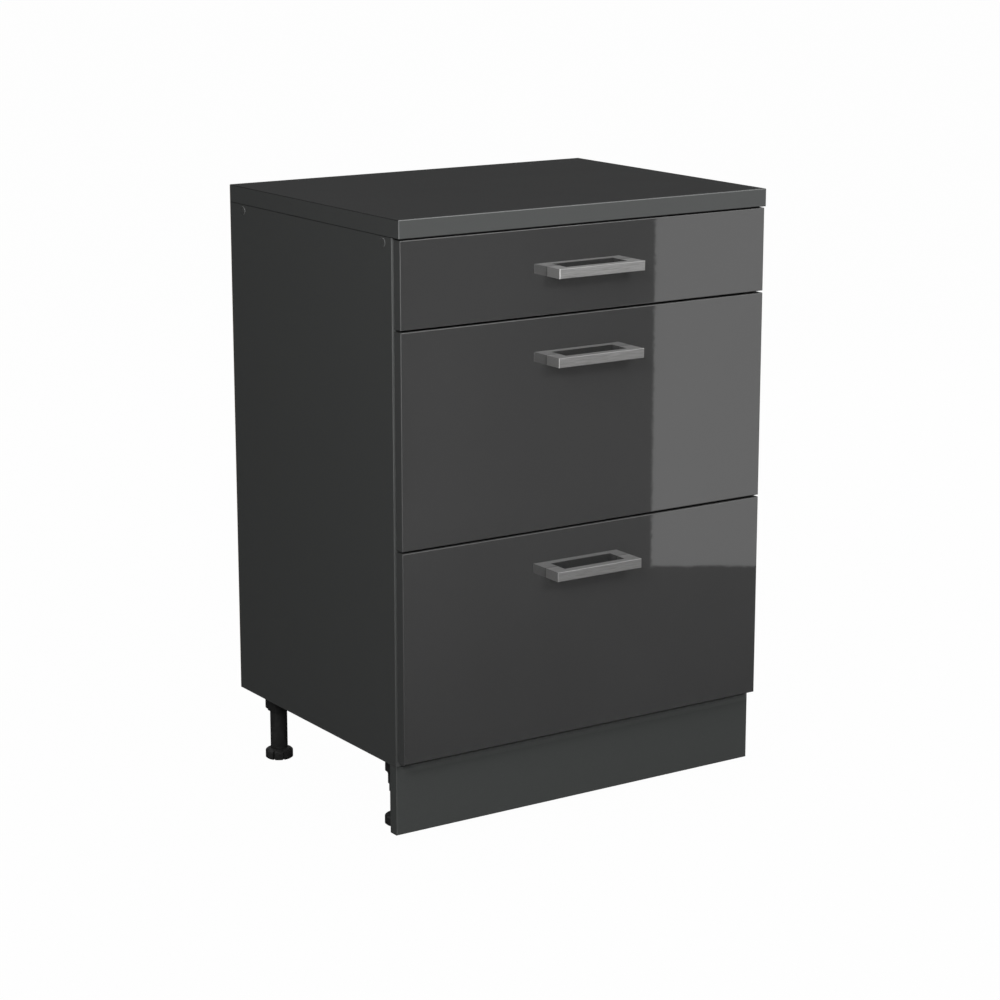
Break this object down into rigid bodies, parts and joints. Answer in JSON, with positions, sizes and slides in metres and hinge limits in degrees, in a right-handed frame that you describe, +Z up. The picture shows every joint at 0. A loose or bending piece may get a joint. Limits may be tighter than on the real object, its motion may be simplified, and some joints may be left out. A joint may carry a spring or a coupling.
{
  "type": "drawer base cabinet",
  "caption": "Anthracite kitchen base cabinet with a shallow drawer over deep pan drawers, bridge handles, a worktop, a plinth and screw feet.",
  "frame": {"origin": "floor level under the centre of the whole part's bounding box", "axes": "+X to the right as seen from the front, +Y from the fronts towards the wall, +Z up"},
  "size_m": [0.6024, 0.485, 0.837],
  "materials": {
    "worktop_laminate": "satin",
    "carcass_laminate": "satin",
    "front_gloss": "gloss",
    "plinth_laminate": "satin",
    "back_board": "matte",
    "drawer_laminate": "satin",
    "handle_steel": "brushed",
    "runner_steel": "satin",
    "roller_nylon": "satin",
    "screw_zinc": "satin",
    "leg_plastic": "matte",
    "cap_plastic": "satin",
    "pad_rubber": "matte"
  },
  "bodies": {
    "carcass": {"worktop": "worktop_laminate", "side_panel_left": "carcass_laminate", "side_panel_right": "carcass_laminate", "bottom_panel": "carcass_laminate", "front_rail": "carcass_laminate", "rear_rail": "carcass_laminate", "back_panel": "back_board", "plinth_board": "plinth_laminate", "plinth_clips": "leg_plastic", "carcass_screws": "screw_zinc", "worktop_screws": "screw_zinc", "runner_screws": "screw_zinc", "cover_caps": "cap_plastic", "bumper_pads": "pad_rubber", "leg_socket_front_left": "leg_plastic", "leg_tube_front_left": "leg_plastic", "leg_socket_front_right": "leg_plastic", "leg_tube_front_right": "leg_plastic", "leg_socket_rear_left": "leg_plastic", "leg_tube_rear_left": "leg_plastic", "leg_socket_rear_right": "leg_plastic", "leg_tube_rear_right": "leg_plastic", "cabinet_runners_top": "runner_steel", "cabinet_runners_middle": "runner_steel", "cabinet_runners_bottom": "runner_steel"},
    "foot_front_left": {"foot_front_left": "leg_plastic"},
    "foot_front_right": {"foot_front_right": "leg_plastic"},
    "foot_rear_left": {"foot_rear_left": "leg_plastic"},
    "foot_rear_right": {"foot_rear_right": "leg_plastic"},
    "drawer_top": {"drawer_front_top": "front_gloss", "drawer_side_left_top": "drawer_laminate", "drawer_side_right_top": "drawer_laminate", "drawer_back_top": "drawer_laminate", "drawer_bottom_top": "drawer_laminate", "handle_top": "handle_steel", "drawer_runners_top": "runner_steel", "drawer_fixings_top": "screw_zinc"},
    "cabinet_rollers_top": {"cabinet_rollers_top": "roller_nylon"},
    "drawer_rollers_top": {"drawer_rollers_top": "roller_nylon"},
    "drawer_middle": {"drawer_front_middle": "front_gloss", "drawer_side_left_middle": "drawer_laminate", "drawer_side_right_middle": "drawer_laminate", "drawer_back_middle": "drawer_laminate", "drawer_bottom_middle": "drawer_laminate", "handle_middle": "handle_steel", "drawer_runners_middle": "runner_steel", "drawer_fixings_middle": "screw_zinc"},
    "cabinet_rollers_middle": {"cabinet_rollers_middle": "roller_nylon"},
    "drawer_rollers_middle": {"drawer_rollers_middle": "roller_nylon"},
    "drawer_bottom": {"drawer_front_bottom": "front_gloss", "drawer_side_left_bottom": "drawer_laminate", "drawer_side_right_bottom": "drawer_laminate", "drawer_back_bottom": "drawer_laminate", "drawer_bottom_bottom": "drawer_laminate", "handle_bottom": "handle_steel", "drawer_runners_bottom": "runner_steel", "drawer_fixings_bottom": "screw_zinc"},
    "cabinet_rollers_bottom": {"cabinet_rollers_bottom": "roller_nylon"},
    "drawer_rollers_bottom": {"drawer_rollers_bottom": "roller_nylon"}
  },
  "joints": [
    {"name": "foot_front_left_height", "type": "slide", "parent": "carcass", "child": "foot_front_left", "axis": [0, 0, -1], "range_m": [0, 0.02]},
    {"name": "foot_front_right_height", "type": "slide", "parent": "carcass", "child": "foot_front_right", "axis": [0, 0, -1], "range_m": [0, 0.02]},
    {"name": "foot_rear_left_height", "type": "slide", "parent": "carcass", "child": "foot_rear_left", "axis": [0, 0, -1], "range_m": [0, 0.02]},
    {"name": "foot_rear_right_height", "type": "slide", "parent": "carcass", "child": "foot_rear_right", "axis": [0, 0, -1], "range_m": [0, 0.02]},
    {"name": "drawer_top_slide", "type": "slide", "parent": "carcass", "child": "drawer_top", "axis": [0, -1, 0], "range_m": [0, 0.3]},
    {"name": "cabinet_rollers_top_turn", "type": "hinge", "parent": "carcass", "child": "cabinet_rollers_top", "pos_m": [0, -0.1815, 0.721], "axis": [1, 0, 0], "continuous": true},
    {"name": "drawer_rollers_top_turn", "type": "hinge", "parent": "drawer_top", "child": "drawer_rollers_top", "pos_m": [0, 0.1925, 0.7207], "axis": [1, 0, 0], "continuous": true},
    {"name": "drawer_middle_slide", "type": "slide", "parent": "carcass", "child": "drawer_middle", "axis": [0, -1, 0], "range_m": [0, 0.3]},
    {"name": "cabinet_rollers_middle_turn", "type": "hinge", "parent": "carcass", "child": "cabinet_rollers_middle", "pos_m": [0, -0.1815, 0.4265], "axis": [1, 0, 0], "continuous": true},
    {"name": "drawer_rollers_middle_turn", "type": "hinge", "parent": "drawer_middle", "child": "drawer_rollers_middle", "pos_m": [0, 0.1925, 0.4262], "axis": [1, 0, 0], "continuous": true},
    {"name": "drawer_bottom_slide", "type": "slide", "parent": "carcass", "child": "drawer_bottom", "axis": [0, -1, 0], "range_m": [0, 0.3]},
    {"name": "cabinet_rollers_bottom_turn", "type": "hinge", "parent": "carcass", "child": "cabinet_rollers_bottom", "pos_m": [0, -0.1815, 0.132], "axis": [1, 0, 0], "continuous": true},
    {"name": "drawer_rollers_bottom_turn", "type": "hinge", "parent": "drawer_bottom", "child": "drawer_rollers_bottom", "pos_m": [0, 0.1925, 0.1317], "axis": [1, 0, 0], "continuous": true}
  ],
  "couplings": [
    {"joint": "cabinet_rollers_top_turn", "follows": "drawer_top_slide", "rad_per_m": 111.11},
    {"joint": "drawer_rollers_top_turn", "follows": "drawer_top_slide", "rad_per_m": 111.11},
    {"joint": "cabinet_rollers_middle_turn", "follows": "drawer_middle_slide", "rad_per_m": 111.11},
    {"joint": "drawer_rollers_middle_turn", "follows": "drawer_middle_slide", "rad_per_m": 111.11},
    {"joint": "cabinet_rollers_bottom_turn", "follows": "drawer_bottom_slide", "rad_per_m": 111.11},
    {"joint": "drawer_rollers_bottom_turn", "follows": "drawer_bottom_slide", "rad_per_m": 111.11}
  ]
}
